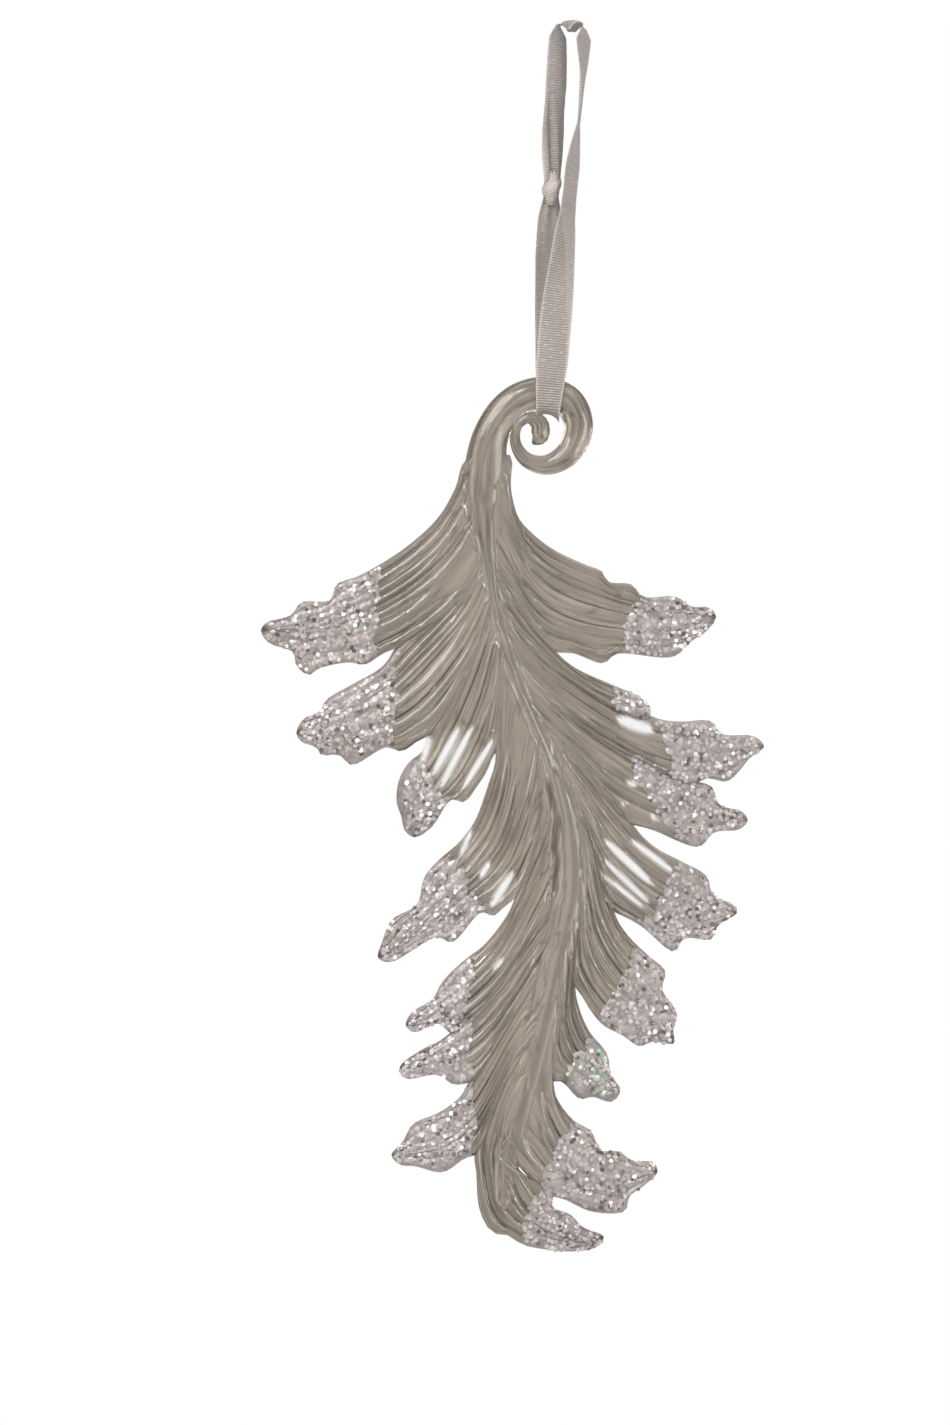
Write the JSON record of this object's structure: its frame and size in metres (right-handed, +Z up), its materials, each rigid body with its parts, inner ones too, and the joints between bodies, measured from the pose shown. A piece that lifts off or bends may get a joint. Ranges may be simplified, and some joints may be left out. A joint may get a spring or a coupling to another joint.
{
  "type": "leaf icicle hanging ornament",
  "caption": "Flat clear leaf ornament with a stem rolled into a scroll and glittered lobe tips, hung from a sheer ribbon loop.",
  "frame": {"origin": "where the top of the ribbon loop bears on its hook", "axes": "+Z up along the hanging line, +X to the right seen from the glittered front, +Y to the back"},
  "size_m": [0.1018, 0.0072, 0.2461],
  "materials": {
    "clear_acrylic": "polished, glass-clear with a faint warm smoke tint",
    "glitter": "silver and clear flakes in a glossy clear coat",
    "ribbon": "sheer organza with bright woven edges"
  },
  "bodies": {
    "hanger": {"ribbon_crown": "ribbon"},
    "ribbon_upper": {"ribbon_leg_left": "ribbon", "ribbon_leg_right": "ribbon", "ribbon_knot": "ribbon", "ribbon_tail": "ribbon"},
    "ribbon_lower": {"ribbon_strand_front": "ribbon", "ribbon_strand_back": "ribbon", "ribbon_bight": "ribbon"},
    "leaf": {"leaf_body": "clear_acrylic", "glitter_coat_left_1": "glitter", "glitter_coat_left_2": "glitter", "glitter_coat_left_3": "glitter", "glitter_coat_left_4": "glitter", "glitter_coat_left_5": "glitter", "glitter_coat_left_6": "glitter", "glitter_coat_left_7": "glitter", "glitter_coat_tail": "glitter", "glitter_coat_right_1": "glitter", "glitter_coat_right_2": "glitter", "glitter_coat_right_3": "glitter", "glitter_coat_right_4": "glitter", "glitter_coat_right_5": "glitter", "glitter_coat_right_6": "glitter", "glitter_coat_right_7": "glitter", "glitter_coat_right_8": "glitter"}
  },
  "joints": [
    {"name": "ribbon_sway", "type": "hinge", "parent": "hanger", "child": "ribbon_upper", "pos_m": [0, 0, -0.0024], "axis": [0, 1, 0], "range_deg": [-20, 20], "deforming": ["ribbon_crown"]},
    {"name": "ribbon_twist", "type": "hinge", "parent": "ribbon_upper", "child": "ribbon_lower", "pos_m": [0, 0, -0.0372], "axis": [0, 0, 1], "range_deg": [-180, 180]},
    {"name": "leaf_swing", "type": "hinge", "parent": "ribbon_lower", "child": "leaf", "pos_m": [0, 0, -0.0752], "axis": [1, 0, 0], "range_deg": [-25, 25]}
  ]
}
